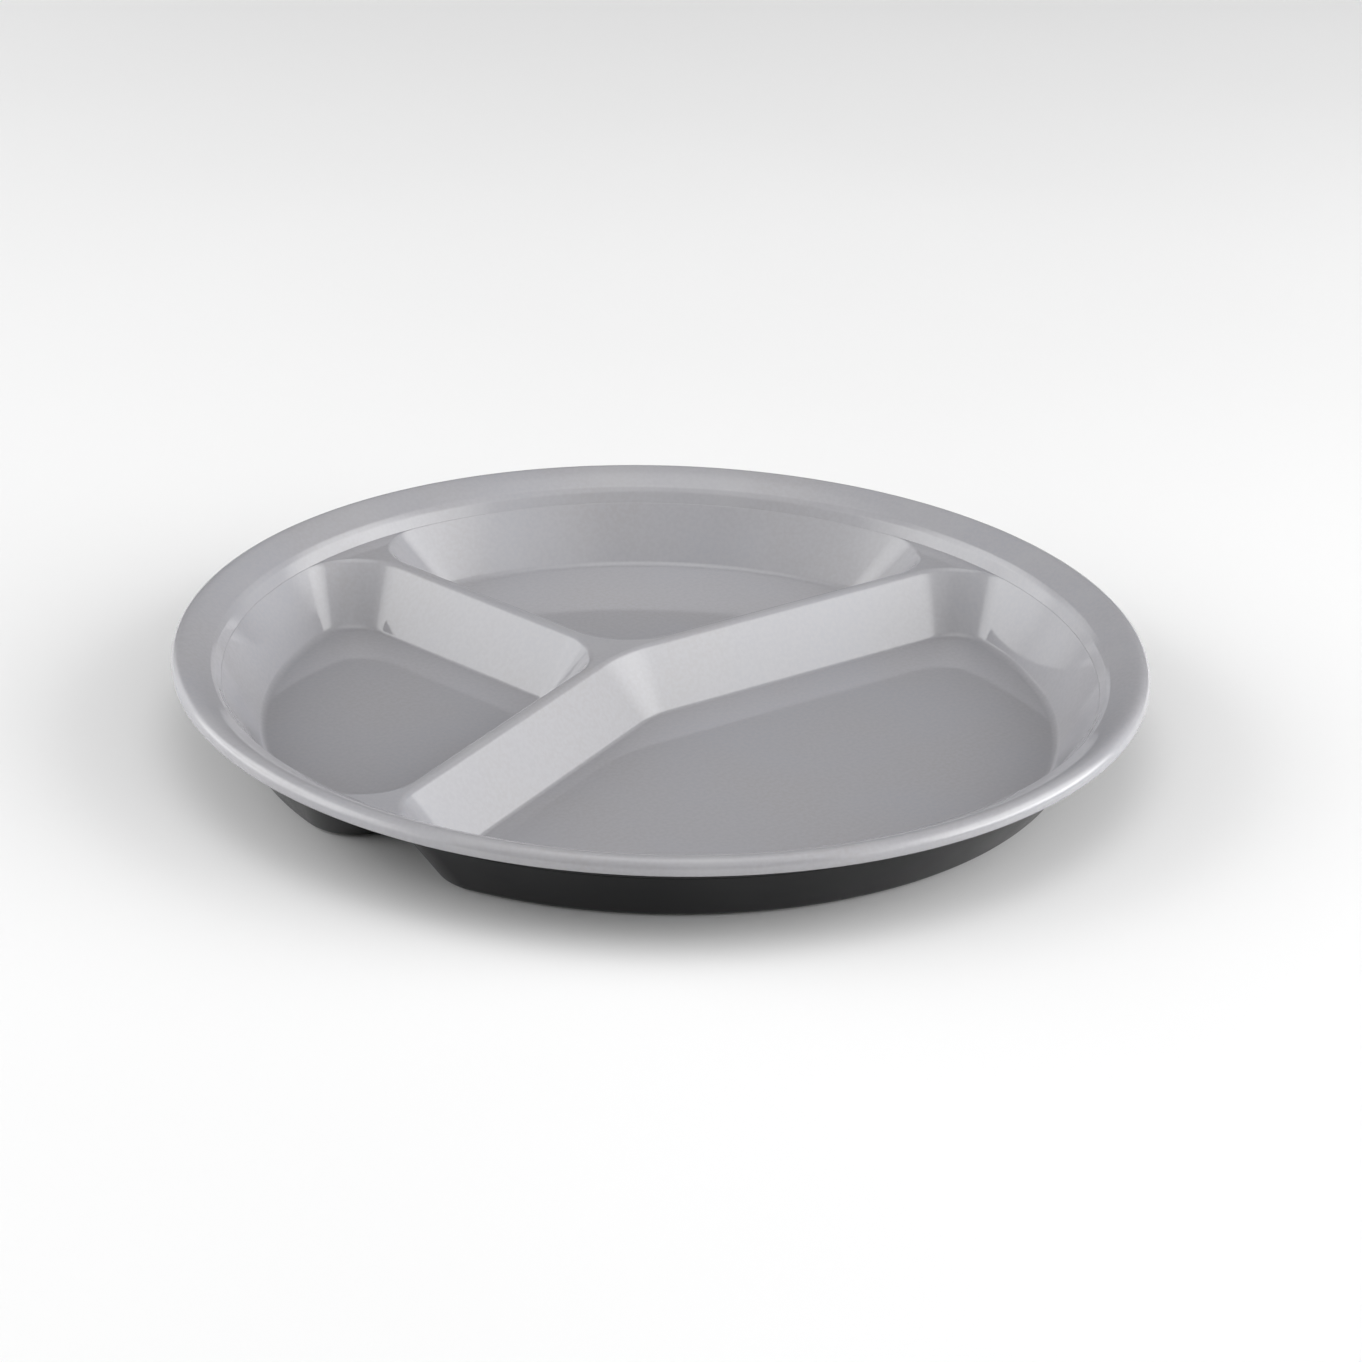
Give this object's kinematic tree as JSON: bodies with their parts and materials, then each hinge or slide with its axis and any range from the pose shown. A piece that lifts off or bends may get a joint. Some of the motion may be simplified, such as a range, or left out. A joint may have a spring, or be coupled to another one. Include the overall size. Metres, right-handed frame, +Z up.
{
  "type": "divided plate",
  "caption": "Round shallow divided plate with a turned-down rim and sloping dividers between its wells; light glossy face over a dark underside.",
  "frame": {"origin": "centre of the plate, on the surface that it stands on", "axes": "+Z up out of the wells, +Y along the straight divider; the largest well lies towards -Y"},
  "size_m": [0.26, 0.26, 0.0254],
  "materials": {
    "grey_face": "glossy moulded melamine, light neutral grey, with faint mottling and fine use marks",
    "black_base": "semi-gloss moulded melamine, black, slightly rubbed where it stands"
  },
  "bodies": {
    "root": {"grey_face_layer": "grey_face", "black_base_layer": "black_base"}
  },
  "joints": []
}
